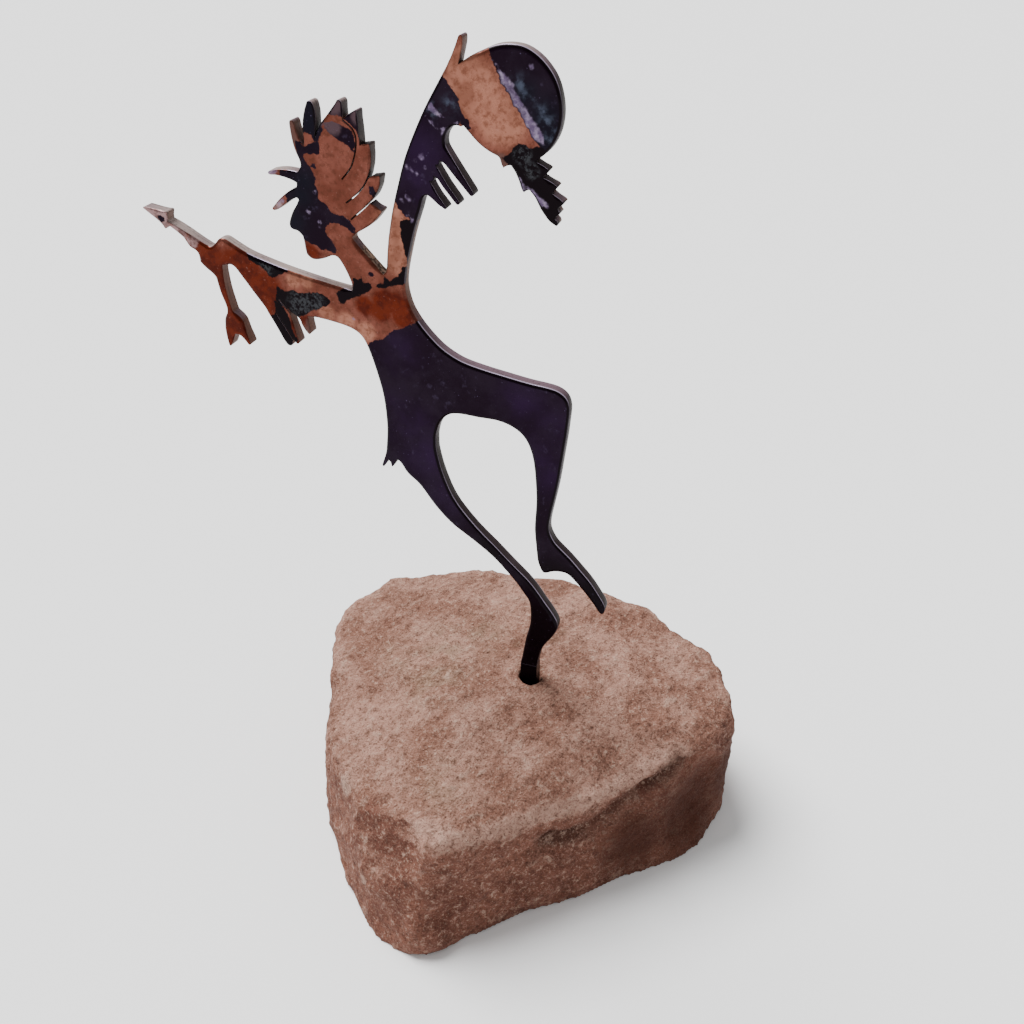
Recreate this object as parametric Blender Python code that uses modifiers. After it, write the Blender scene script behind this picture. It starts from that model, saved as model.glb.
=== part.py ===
# A flat-cut steel dancer that stands on a narrow post in a block of natural sandstone.
# Metres, +Z up. The origin lies on the underside of the rock, right below the post.
# The plate stands in the XZ plane with its front towards -Y.

import math

import bmesh
import bpy
from mathutils import Matrix, Vector, noise

# Driving dimensions of the dancer
FIGURE_HEIGHT = 0.1692  # from the rock's top at the post to the raised fingertip
PLATE_THICKNESS = 0.0034
KERF = 0.0003  # width of the saw-fine cuts between feathers and fringes
POST_WIDTH = 0.0048  # width of the post where it enters the rock
TAB_LENGTH = 0.014  # length of post inside the rock

# Driving dimensions of the rock
ROCK_LENGTH = 0.127  # longest way across, left to right
ROCK_HEIGHT = 0.046  # from the underside to the top at the post
HOLE_CLEARANCE = 0.0003  # free space round the post's corners and below its end
ARRIS_RADIUS = 0.004  # worn roundness of the rock's edges
ROUGHNESS_HEIGHT = 0.0013  # how far the broken faces swell and sink
ROUGHNESS_SPACING = 0.020  # size of those swells

# The outlines are drawn in millimetres for these sizes, and scaled from there
DRAWN_FIGURE = 169.2
DRAWN_POST_CENTRE = 1.2
DRAWN_ROCK = 127.0

FIGURE_UNIT = FIGURE_HEIGHT / DRAWN_FIGURE
ROCK_UNIT = ROCK_LENGTH / DRAWN_ROCK
HOLE_DIAMETER = math.hypot(POST_WIDTH, PLATE_THICKNESS) + 2 * HOLE_CLEARANCE
HOLE_DEPTH = TAB_LENGTH + HOLE_CLEARANCE


# Drawing tools. Every one returns a list of (x, z) points of the plate's outline.

def curve(*knots, steps=4):
    """A smooth curve that runs through every knot."""
    ends = [knots[0], *knots, knots[-1]]
    points = [knots[0]]
    for i in range(1, len(ends) - 2):
        before, start, end, after = [Vector(p) for p in ends[i - 1:i + 3]]
        for step in range(1, steps + 1):
            t = step / steps
            point = 0.5 * (2 * start + (end - before) * t
                           + (2 * before - 5 * start + 4 * end - after) * t ** 2
                           + (3 * start - before - 3 * end + after) * t ** 3)
            points.append(tuple(point))
    return points


def round_end(start, end, steps=4):
    """A half circle from start round to end, bulging to the left of that way."""
    start, end = Vector(start), Vector(end)
    centre = (start + end) / 2
    spoke = start - centre
    turns = [-math.pi * i / steps for i in range(1, steps)]
    middle = [centre + Vector((spoke.x * math.cos(a) - spoke.y * math.sin(a),
                               spoke.x * math.sin(a) + spoke.y * math.cos(a))) for a in turns]
    return [tuple(start), *[tuple(p) for p in middle], tuple(end)]


def kerf(*path):
    """A narrow cut that runs in along the path and back out again."""
    way = [Vector(p) for p in curve(*path, steps=3)]
    half = KERF / FIGURE_UNIT / 2
    near, far = [], []
    for i, point in enumerate(way):
        along = (way[min(i + 1, len(way) - 1)] - way[max(i - 1, 0)]).normalized()
        side = Vector((along.y, -along.x)) * half
        near.append(tuple(point + side))
        far.append(tuple(point - side))
    return near + far[::-1]


# The outline, clockwise from where the standing leg meets the post

def back_of_leg():
    return curve((0.2, 15.5), (1.2, 20.0), (1.4, 24.5), (0.9, 28.6), (-0.7, 31.2), (-3.3, 35.0),
                 (-8.6, 41.0), (-13.8, 45.1), (-20.4, 49.6), (-25.2, 54.6), (-29.3, 60.4),
                 (-32.2, 63.0), (-33.5, 64.6), (-34.4, 66.6), (-35.2, 67.5))


def tassels():
    return [(-36.0, 65.8), *round_end((-36.6, 65.1), (-37.0, 65.2)), (-37.2, 66.2), (-37.8, 66.9),
            (-38.2, 66.0), *round_end((-39.0, 64.8), (-39.7, 65.0)), (-39.2, 66.4)]


def flank():
    return curve((-38.6, 68.0), (-38.2, 71.0), (-37.6, 77.0), (-37.9, 85.1), (-39.3, 92.2),
                 (-41.1, 98.4), (-42.8, 101.3), (-45.6, 102.8), (-50.0, 103.7), (-54.9, 104.3))


def left_arm_fringes():
    return [(-56.4, 104.5), (-56.3, 102.8), *round_end((-56.1, 100.1), (-56.9, 99.9)),
            (-57.6, 100.6), (-58.4, 101.9), (-58.7, 103.2), (-59.8, 104.1),
            *kerf((-61.2, 104.9), (-62.6, 106.4), (-63.8, 108.0)),
            (-61.1, 102.9), (-60.4, 100.1), *round_end((-59.7, 97.1), (-60.6, 96.8)),
            *kerf((-61.2, 97.3), (-62.9, 100.4), (-65.1, 104.2)),
            *round_end((-61.6, 97.0), (-63.4, 96.2))]


def forearm():
    return curve((-64.0, 97.0), (-67.0, 103.2), (-70.9, 108.8), (-74.9, 114.5), steps=3)


def hanging_stick():
    right = curve((-78.2, 114.9), (-78.6, 113.4), (-78.5, 108.6), (-77.8, 104.0), (-77.5, 102.7), steps=3)
    blade = [(-76.2, 101.7), (-75.3, 100.6), (-74.6, 97.6), *round_end((-73.8, 94.6), (-74.6, 94.6)),
             (-75.7, 95.9), (-76.6, 96.5), (-77.8, 96.8), (-78.4, 95.9), (-79.1, 94.3),
             *round_end((-79.6, 93.5), (-80.2, 93.5)), (-80.6, 95.6), (-80.8, 98.0), (-80.6, 99.9)]
    left = curve((-80.2, 101.2), (-79.2, 102.6), (-79.1, 104.3), (-80.1, 107.6), (-80.7, 111.6), steps=3)
    return [(-75.9, 115.2), *right, *blade, *left]


def fist_and_shaft():
    fist = curve((-81.6, 112.2), (-83.7, 113.8), (-84.6, 115.0), (-84.7, 116.4), (-85.1, 117.7),
                 (-86.5, 118.3), (-87.3, 119.4), (-87.9, 120.8), steps=2)
    return [*fist, (-89.3, 121.9), (-91.3, 123.3)]


def arrow():
    head = [*round_end((-92.2, 122.7), (-92.9, 122.9)), (-95.2, 124.9), *round_end((-97.6, 126.8), (-97.6, 127.4)),
            *round_end((-91.9, 126.7), (-91.4, 126.1)), (-91.6, 124.4)]
    return [*head, (-89.0, 123.2), (-85.9, 121.6), (-83.5, 120.2), (-81.2, 119.0)]


def top_of_left_arm():
    return [(-80.7, 119.0), *curve((-79.2, 120.4), (-78.3, 121.3), (-76.8, 121.6), (-74.5, 120.4),
                                   (-70.9, 118.6), (-65.0, 116.8), (-59.0, 115.3), (-50.0, 113.5),
                                   (-43.7, 112.5), steps=3)]


def jaw_and_face():
    jaw = curve((-43.4, 113.0), (-44.6, 116.4), (-46.4, 119.8), (-47.9, 120.5), (-50.6, 119.4),
                (-53.2, 119.0), (-54.8, 120.2), (-55.1, 122.6), steps=3)
    nose = curve((-55.1, 124.6), (-56.3, 125.4), (-58.0, 126.0), (-58.3, 127.4), (-57.4, 129.6),
                 (-55.9, 131.6), (-55.0, 133.0), steps=3)
    return jaw + nose


def forehead_plumes():
    lower = [*curve((-55.4, 133.4), (-56.8, 132.8), (-58.8, 131.5), (-60.6, 130.2), steps=2),
             *round_end((-61.6, 129.9), (-61.9, 130.7)),
             *curve((-60.4, 132.3), (-58.6, 133.8), (-56.8, 135.0), (-55.2, 135.8), steps=2)]
    upper = [*curve((-55.0, 136.8), (-56.4, 137.3), (-58.2, 137.8), (-60.2, 138.1), steps=2),
             *round_end((-61.6, 138.0), (-61.7, 138.9)),
             *curve((-60.0, 139.3), (-58.0, 139.5), (-56.0, 139.4), (-54.4, 139.2), steps=2)]
    return lower + upper


def crown_feathers():
    """Seven feathers from the brow to the nape, with a cut running in from four of the notches."""
    first = [*curve((-53.6, 140.6), (-54.0, 142.2), (-54.7, 144.6), (-55.0, 147.0), (-55.1, 149.6), steps=2),
             *round_end((-55.1, 149.9), (-53.9, 149.9)), (-53.7, 148.4), (-53.0, 146.4), (-52.1, 144.9)]
    second = [*curve((-51.9, 146.2), (-52.1, 148.4), (-51.7, 151.0), (-50.9, 153.2), steps=2),
              *round_end((-50.5, 153.8), (-48.8, 153.9)), (-48.5, 152.4), (-48.6, 150.6), (-49.0, 148.4),
              (-49.3, 146.7)]
    third = [*curve((-48.6, 148.0), (-47.6, 150.0), (-45.5, 152.4), (-43.5, 154.5), steps=2),
             *round_end((-43.3, 154.7), (-41.9, 154.7), steps=5), (-41.9, 153.2)]
    cut_below_third = kerf((-42.0, 151.2), (-40.1, 149.8), (-39.3, 148.3), (-39.3, 146.4), (-39.7, 144.6),
                           (-41.0, 141.4), (-43.5, 138.6))
    fourth = [(-41.2, 152.1), (-40.0, 152.9), *round_end((-39.3, 153.2), (-38.6, 153.0)), (-38.5, 151.4)]
    fifth = [(-38.5, 146.3), (-37.4, 146.6), *round_end((-36.7, 146.6), (-36.2, 146.2)),
             *curve((-36.1, 144.4), (-36.4, 142.0), (-37.0, 140.2), steps=2)]
    cut_below_fifth = kerf((-37.2, 139.4), (-38.4, 137.4), (-40.7, 135.1), (-43.0, 133.4))
    sixth = [(-36.5, 139.8), *round_end((-34.9, 140.0), (-34.3, 139.5)),
             *curve((-34.5, 138.0), (-35.6, 135.8), (-36.8, 134.5), steps=2)]
    cut_below_sixth = kerf((-37.2, 134.0), (-38.8, 132.5), (-40.5, 131.1), (-42.2, 129.7))
    seventh = [(-36.6, 133.6), *round_end((-34.9, 132.6), (-34.6, 131.9)),
               *curve((-35.3, 131.0), (-36.9, 129.3), (-38.9, 127.9), (-41.2, 126.6), steps=2)]
    return (first + second + third + cut_below_third + fourth + fifth + cut_below_fifth
            + sixth + cut_below_sixth + seventh)


def nape():
    return curve((-42.3, 125.7), (-42.2, 124.8), (-39.6, 121.9), (-36.2, 118.3), (-35.2, 117.5), steps=2)


def raised_arm_front():
    """Up the left side of the raised arm to the fingertip."""
    return curve((-34.5, 118.2), (-34.3, 120.4), (-33.5, 126.2), (-31.9, 133.1), (-30.3, 138.4),
                 (-28.3, 144.4), (-25.6, 150.2), (-23.1, 154.9), (-20.9, 158.5), (-18.5, 162.3),
                 (-16.8, 165.0), (-15.4, 168.0), steps=2)


def fingertip():
    return [*round_end((-15.1, 168.8), (-14.1, 168.7)), (-14.2, 167.4), (-14.6, 165.8), (-15.2, 163.7)]


def drum_rim():
    """Clockwise round the slightly oval drum from the hand to the pendant feather."""
    return curve((-14.6, 164.1), (-12.6, 165.4), (-10.4, 166.4), (-7.4, 167.6), (-4.2, 168.0),
                 (-1.0, 167.5), (2.2, 165.6), (4.9, 162.5), (6.3, 158.9), (6.7, 155.2),
                 (6.0, 151.6), (4.3, 148.6), (2.0, 146.6))


def pendant_feather():
    """Below the drum: a vane with notched barbs on the right and two short ones on the left."""
    right = [(1.3, 146.0)]
    barbs = [((4.2, 144.5), (2.9, 142.9)), ((6.1, 141.3), (4.9, 139.8)),
             ((7.6, 138.1), (6.2, 136.7)), ((6.8, 135.9), (5.5, 134.6))]
    for tip, notch in barbs:
        right += [(tip[0] - 0.3, tip[1] + 0.3), (tip[0], tip[1] - 0.1), (tip[0] - 0.3, tip[1] - 0.5), notch]
    point = [(6.2, 134.2), *round_end((6.4, 133.6), (5.7, 133.2)), (4.6, 133.8)]
    left = [(3.5, 134.8), (2.4, 136.1), (1.3, 138.2), (0.0, 140.1), (-0.8, 139.9), (-1.2, 139.5),
            (-1.6, 139.8), (-3.3, 143.4), (-4.1, 144.8), (-5.2, 144.6), (-5.7, 144.2), (-6.1, 144.6),
            (-6.6, 145.9)]
    return right + point + left


def drum_underside():
    rim = curve((-6.8, 146.2), (-9.0, 147.1), (-11.2, 148.5), (-13.1, 150.3), (-14.4, 152.0))
    return rim + curve((-15.1, 151.7), (-15.9, 151.9), (-17.3, 151.4), (-18.4, 150.0), (-18.8, 148.4), steps=3)


def raised_arm_fringes():
    return [(-18.6, 147.4), (-15.4, 142.6), *round_end((-12.4, 138.2), (-13.5, 137.9)),
            (-16.7, 141.3), (-19.3, 144.2), *round_end((-20.1, 144.6), (-21.0, 143.6)),
            (-18.5, 139.6), *round_end((-15.7, 136.0), (-16.7, 135.7)),
            (-19.3, 138.7), (-21.0, 141.0), *round_end((-21.6, 141.2), (-22.5, 140.0)),
            (-20.7, 137.0), *round_end((-18.8, 134.6), (-19.5, 134.4)),
            *curve((-20.6, 134.9), (-22.4, 136.3), (-23.6, 136.9), (-24.4, 136.0), steps=3)]


def back_and_thigh():
    return curve((-25.2, 133.4), (-26.0, 131.3), (-27.3, 127.6), (-28.5, 123.4), (-29.6, 119.0),
                 (-30.1, 115.4), (-29.7, 112.2), (-28.7, 109.2), (-26.6, 105.9), (-23.8, 102.7),
                 (-20.9, 100.2), (-16.7, 98.0), (-11.4, 96.7), (-5.6, 95.7), (0.2, 94.8),
                 (5.2, 94.3), (7.8, 93.6), (9.6, 92.1), (10.4, 89.6), (10.3, 86.6), steps=3)


def shin_and_foot():
    """Down the front of the lifted leg, round its toe and back along the sole to the heel."""
    shin = curve((9.9, 82.0), (9.0, 74.5), (8.1, 67.4), (6.6, 59.0), (6.1, 55.6), (6.2, 53.0),
                 (7.6, 50.0), (9.7, 47.8), (12.0, 45.6), (15.0, 42.3), (17.6, 39.3), (19.6, 36.4),
                 (21.6, 33.2), steps=3)
    toe = curve((22.2, 31.6), (22.0, 30.1), (21.2, 29.5), (20.3, 30.2), steps=3)
    sole = curve((19.4, 31.5), (17.1, 34.6), (13.9, 38.3), (12.2, 40.0), (10.6, 40.7), (8.0, 40.5),
                 (5.8, 39.6), (4.6, 39.8), (3.6, 41.4), steps=3)
    return shin + toe + sole


def between_the_legs():
    """Up the calf of the lifted leg, over the gap and down the inside of the standing leg."""
    calf = curve((3.1, 43.2), (2.6, 48.0), (2.2, 52.6), (2.3, 56.6), (2.5, 62.0), (2.2, 68.0),
                 (1.6, 73.6), (0.4, 77.8), (-1.5, 80.7), (-4.4, 82.5), (-8.0, 83.4), (-12.6, 83.4),
                 (-16.4, 83.6), (-19.6, 83.3), (-21.8, 81.8), (-23.4, 79.2), (-24.2, 76.0), steps=2)
    inside = curve((-24.3, 72.6), (-23.4, 67.6), (-21.3, 61.0), (-18.6, 55.9), (-13.6, 49.8),
                   (-8.7, 45.1), (-3.6, 39.9), (0.4, 36.0), (3.1, 32.6), (5.2, 29.4), steps=2)
    return calf + inside


def standing_foot():
    return curve((7.2, 26.6), (8.9, 23.7), (9.3, 21.6), (8.8, 19.4), (7.5, 16.8), (6.2, 14.8),
                 (5.0, 12.4), (4.3, 10.0), steps=2)


def post_below(foot_level):
    """Down one side of the post, across its end inside the rock and up again, in metres."""
    half = POST_WIDTH / 2
    return [(half, foot_level), (half, -TAB_LENGTH), (-half, -TAB_LENGTH), (-half, foot_level)]


def dancer_outline():
    drawn = (back_of_leg() + tassels() + flank() + left_arm_fringes() + forearm() + hanging_stick()
             + fist_and_shaft() + arrow() + top_of_left_arm() + jaw_and_face() + forehead_plumes()
             + crown_feathers() + nape() + raised_arm_front() + fingertip() + drum_rim()
             + pendant_feather() + drum_underside() + raised_arm_fringes() + back_and_thigh()
             + shin_and_foot() + between_the_legs() + standing_foot())
    figure = [((x - DRAWN_POST_CENTRE) * FIGURE_UNIT, z * FIGURE_UNIT) for x, z in drawn]
    return figure + post_below(foot_level=6.0 * FIGURE_UNIT)


def without_repeats(points, shortest=0.00002):
    """The same outline without points that fall on the one before."""
    kept = []
    for point in points:
        if not kept or (Vector(point) - Vector(kept[-1])).length > shortest:
            kept.append(point)
    return kept


# Building the two pieces

def principled(name, colour, roughness, metallic):
    material = bpy.data.materials.new(name)
    material.use_nodes = True
    shader = material.node_tree.nodes["Principled BSDF"]
    shader.inputs["Base Color"].default_value = (*colour, 1.0)
    shader.inputs["Roughness"].default_value = roughness
    shader.inputs["Metallic"].default_value = metallic
    return material


def make_dancer(collection):
    outline = without_repeats(dancer_outline())
    profile = bpy.data.curves.new("dancer_outline", "CURVE")
    profile.dimensions = "2D"
    profile.fill_mode = "BOTH"
    profile.extrude = PLATE_THICKNESS / 2
    spline = profile.splines.new("POLY")
    spline.points.add(len(outline) - 1)
    for point, (x, z) in zip(spline.points, outline):
        point.co = (x, z, 0.0, 1.0)
    spline.use_cyclic_u = True
    drawing = bpy.data.objects.new("dancer_outline", profile)
    drawing.location.z = ROCK_HEIGHT
    drawing.rotation_euler.x = math.pi / 2
    collection.objects.link(drawing)

    graph = bpy.context.evaluated_depsgraph_get()
    mesh = bpy.data.meshes.new_from_object(drawing.evaluated_get(graph))
    mesh.name = "dancer_figure"
    plate = bmesh.new()
    plate.from_mesh(mesh)
    bmesh.ops.remove_doubles(plate, verts=plate.verts[:], dist=0.00001)
    bmesh.ops.recalc_face_normals(plate, faces=plate.faces[:])
    plate.to_mesh(mesh)
    plate.free()
    mesh.materials.append(principled("patinated steel", (0.20, 0.09, 0.06), 0.3, 0.9))
    dancer = bpy.data.objects.new("dancer_figure", mesh)
    dancer.matrix_world = drawing.matrix_world
    collection.objects.link(dancer)
    bpy.data.objects.remove(drawing)
    return dancer


# Broken faces round the rock: compass angle in degrees, distance of the foot from the post
# in drawn millimetres, and how many degrees the face leans inwards as it rises
BROKEN_FACES = [(-50, 43.3, 6), (-38, 48.8, 7), (-16, 56.2, 2), (24, 60.0, 2), (58, 55.5, 4),
                (76, 53.5, 4), (94, 55.0, 3), (118, 60.5, 2), (148, 69.0, 0), (168, 71.5, -3),
                (202, 62.5, 5), (222, 62.5, 7), (256, 69.0, 17)]

# Faces that shape the top: compass angle, steepness in degrees and how far below the top
# at the post they would pass
TOP_FACES = [(-88, 9.5, 0.5), (95, 4, 0.5), (185, 5.5, 0.5), (8, 6, 0.5), (-140, 20, 8.0), (-50, 30, 12.5)]


def knock_off(rock, point, normal):
    """Cuts away all of the rock beyond a plane and closes the face."""
    everything = rock.verts[:] + rock.edges[:] + rock.faces[:]
    cut = bmesh.ops.bisect_plane(rock, geom=everything, plane_co=point, plane_no=normal, clear_outer=True)
    rim = [e for e in cut["geom_cut"] if isinstance(e, bmesh.types.BMEdge)]
    if rim:
        bmesh.ops.contextual_create(rock, geom=rim)


def rock_block():
    """The plain block with its broken faces, carried on below the underside for now."""
    rock = bmesh.new()
    bmesh.ops.create_cube(rock, size=1.0, matrix=Matrix.Diagonal((2 * ROCK_LENGTH, 2 * ROCK_LENGTH,
                                                                  2 * ROCK_HEIGHT, 1.0)))
    knock_off(rock, (0, 0, -3 * ARRIS_RADIUS), (0, 0, -1))
    for compass, foot, lean in BROKEN_FACES:
        turn, tip = math.radians(compass), math.radians(lean)
        outward = Vector((math.cos(turn), math.sin(turn), 0))
        knock_off(rock, outward * foot * ROCK_UNIT, outward * math.cos(tip) + Vector((0, 0, math.sin(tip))))
    for compass, steep, drop in TOP_FACES:
        turn, tip = math.radians(compass), math.radians(steep)
        outward = Vector((math.cos(turn), math.sin(turn), 0))
        start = Vector((0, 0, ROCK_HEIGHT + drop * ROCK_UNIT))
        knock_off(rock, start, outward * math.sin(tip) + Vector((0, 0, math.cos(tip))))
    return rock


def worn_mesh(block):
    """The block as an even mesh of small faces, with its edges worn round."""
    rough = bpy.data.meshes.new("rock_block")
    block.to_mesh(rough)
    block.free()
    stand_in = bpy.data.objects.new("rock_block", rough)
    bpy.context.scene.collection.objects.link(stand_in)
    wear = stand_in.modifiers.new("wear", "REMESH")
    wear.mode = "VOXEL"
    wear.voxel_size = ARRIS_RADIUS
    worn = bpy.data.meshes.new_from_object(stand_in.evaluated_get(bpy.context.evaluated_depsgraph_get()))
    bpy.data.objects.remove(stand_in)
    return worn


def weather(rock):
    """Makes the broken faces uneven, then saws the underside flat."""
    rock.normal_update()
    for vert in rock.verts:
        vert.co += vert.normal * noise.noise(vert.co / ROUGHNESS_SPACING) * ROUGHNESS_HEIGHT
    knock_off(rock, (0, 0, 0), (0, 0, -1))
    bmesh.ops.remove_doubles(rock, verts=rock.verts[:], dist=0.0001)


def make_rock(collection, cutters):
    mesh = worn_mesh(rock_block())
    mesh.name = "rock_base"
    rock = bmesh.new()
    rock.from_mesh(mesh)
    weather(rock)
    rock.to_mesh(mesh)
    rock.free()
    base = bpy.data.objects.new("rock_base", mesh)
    mesh.materials.append(principled("red sandstone", (0.42, 0.27, 0.22), 0.9, 0.0))
    collection.objects.link(base)

    bore_length = HOLE_DEPTH + ROCK_HEIGHT
    bpy.ops.mesh.primitive_cylinder_add(vertices=24, radius=HOLE_DIAMETER / 2, depth=bore_length,
                                        location=(0, 0, ROCK_HEIGHT - HOLE_DEPTH + bore_length / 2))
    drill = bpy.context.object
    drill.name = "post_hole_drill"
    drill.hide_render = True
    drill.display_type = "WIRE"
    for owner in drill.users_collection:
        owner.objects.unlink(drill)
    cutters.objects.link(drill)
    bore = base.modifiers.new("post hole", "BOOLEAN")
    bore.object = drill
    bore.operation = "DIFFERENCE"
    return base


def main():
    for leftover in list(bpy.data.objects):
        bpy.data.objects.remove(leftover)
    parts = bpy.data.collections.new("dancer_on_rock")
    cutters = bpy.data.collections.new("cutters")
    bpy.context.scene.collection.children.link(parts)
    bpy.context.scene.collection.children.link(cutters)
    make_dancer(parts)
    make_rock(parts, cutters)


main()
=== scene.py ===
import math

import bmesh
import bpy
import numpy
from mathutils import Euler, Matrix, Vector, noise


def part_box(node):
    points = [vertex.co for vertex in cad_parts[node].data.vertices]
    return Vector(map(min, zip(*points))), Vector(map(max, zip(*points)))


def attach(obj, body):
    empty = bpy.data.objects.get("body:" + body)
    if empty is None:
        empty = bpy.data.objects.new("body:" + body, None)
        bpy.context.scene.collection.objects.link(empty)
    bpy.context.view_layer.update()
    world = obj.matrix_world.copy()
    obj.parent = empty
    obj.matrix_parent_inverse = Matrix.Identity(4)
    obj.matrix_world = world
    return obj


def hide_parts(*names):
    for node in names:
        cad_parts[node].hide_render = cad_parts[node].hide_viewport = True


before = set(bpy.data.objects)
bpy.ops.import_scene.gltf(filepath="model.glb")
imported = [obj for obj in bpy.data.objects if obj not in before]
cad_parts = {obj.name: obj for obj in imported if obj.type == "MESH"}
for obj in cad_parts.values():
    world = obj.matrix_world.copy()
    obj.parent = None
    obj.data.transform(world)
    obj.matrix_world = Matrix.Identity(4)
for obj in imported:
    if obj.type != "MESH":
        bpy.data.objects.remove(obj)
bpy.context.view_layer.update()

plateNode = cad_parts["dancer_figure"]
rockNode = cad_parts["rock_base"]
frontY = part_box("dancer_figure")[0].y
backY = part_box("dancer_figure")[1].y
postX, rockTop = -0.0012, 0.046  # where the drawing's zero lies in the frame
weldGap = 0.000005  # points nearer than this are one
falloff = 1.6  # how fast a soft mark fades towards its reach


# the steel plate, in metres and degrees
plateSize = {
    "frontRound": 0.0009,  # rounding of the cut edges, in front and at the back
    "backRound": 0.0005,
    "roundSteps": 4,
    "metalShare": 0.42,  # how much of the room in the metal and in a gap the rounding may take
    "gapShare": 0.7,
    "roundSlope": 0.35,  # how fast the rounding may change along the edge
    "slopeRounds": 40,
    "edgeSpacing": 0.0006,
    "softCorner": 50,  # corners blunter than this, in degrees, are drawn out smooth
    "softRounds": 2,
    "frontGrid": 0.0006,
    "backGrid": 0.0024,
    "sharpAngle": 40,
}


def outlineEdges(bm, side):
    face = max((f for f in bm.faces if f.normal.y * side > 0.9), key=lambda f: f.calc_area())
    return face, list(face.edges)


def cleanPlate(node):
    bm = bmesh.new()
    bm.from_mesh(node.data)
    bmesh.ops.remove_doubles(bm, verts=bm.verts[:], dist=weldGap)
    bmesh.ops.dissolve_limit(bm, angle_limit=math.radians(0.5), verts=bm.verts[:], edges=bm.edges[:])
    groups = {}
    for side in (-1, 1):
        for edge in outlineEdges(bm, side)[1]:
            cuts = int(edge.calc_length() / plateSize["edgeSpacing"])
            groups.setdefault(cuts, []).append(edge)
    for cuts, edges in groups.items():
        if cuts:
            bmesh.ops.subdivide_edges(bm, edges=edges, cuts=cuts)
    bm.normal_update()
    return bm


def softenOutline(bm):
    blunt = math.radians(plateSize["softCorner"])
    soft = []
    for side in (-1, 1):
        face = outlineEdges(bm, side)[0]
        for loop in face.loops:
            ahead = loop.link_loop_next.vert.co - loop.vert.co
            behind = loop.vert.co - loop.link_loop_prev.vert.co
            if ahead.angle(behind) < blunt:
                soft.append(loop.vert)
    for _ in range(plateSize["softRounds"]):
        bmesh.ops.smooth_vert(bm, verts=soft, factor=0.5, use_axis_x=True, use_axis_y=False, use_axis_z=True)
    bm.normal_update()


def roundEdge(bm, side, widest):
    face = outlineEdges(bm, side)[0]
    flat = numpy.array([(v.co.x, v.co.z) for v in face.verts])
    ahead = numpy.roll(flat, -1, axis=0) - flat
    length = numpy.linalg.norm(ahead, axis=1)
    ahead /= length[:, None]
    turn = numpy.stack((ahead[:, 1], -ahead[:, 0]), axis=1) * side
    inward = turn + numpy.roll(turn, 1, axis=0)
    inward /= numpy.linalg.norm(inward, axis=1)[:, None] + 1e-9
    # how far the middle of the metal or of the gap is from each point, so slim feathers
    # stay whole and the saw cuts stay fine
    room = numpy.full(len(flat), widest)
    for i, (point, way) in enumerate(zip(flat, inward)):
        gap = flat - point
        depth = gap @ way
        spread = (gap ** 2).sum(axis=1)
        near, beyond = depth > 1e-7, depth < -1e-7
        room[i] = min(widest, plateSize["metalShare"] * (spread[near] / (2 * depth[near])).min())
        if beyond.any():
            room[i] = min(room[i], plateSize["gapShare"] * (spread[beyond] / (-2 * depth[beyond])).min())
    slope = plateSize["roundSlope"] * length
    for _ in range(plateSize["slopeRounds"]):
        room = numpy.minimum(room, numpy.roll(room, 1) + numpy.roll(slope, 1))
        room = numpy.minimum(room, numpy.roll(room, -1) + slope)
    level = frontY if side < 0 else backY
    for vert, radius in zip(face.verts, room):
        vert.co.y = level - side * radius
    for ring in range(1, plateSize["roundSteps"] + 1):
        angle = math.radians(90 * ring / plateSize["roundSteps"])
        bmesh.ops.inset_individual(bm, faces=[face], thickness=0.0, use_even_offset=False)
        for vert, point, way, radius in zip(face.verts, flat, inward, room):
            spot = point + way * radius * (1 - math.cos(angle))
            vert.co = (spot[0], level - side * radius * (1 - math.sin(angle)), spot[1])
    bm.normal_update()
    return face


def gridFace(bm, face, spacing):
    low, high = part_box("dancer_figure")
    geom = [face] + list(face.edges) + list(face.verts)
    for normal, start, end in (((1, 0, 0), low.x, high.x), ((0, 0, 1), low.z, high.z)):
        for i in range(1, int((end - start) / spacing) + 1):
            point = Vector(normal) * (start + i * spacing)
            geom = bmesh.ops.bisect_plane(bm, geom=geom, plane_co=point, plane_no=normal)["geom"]


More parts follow.
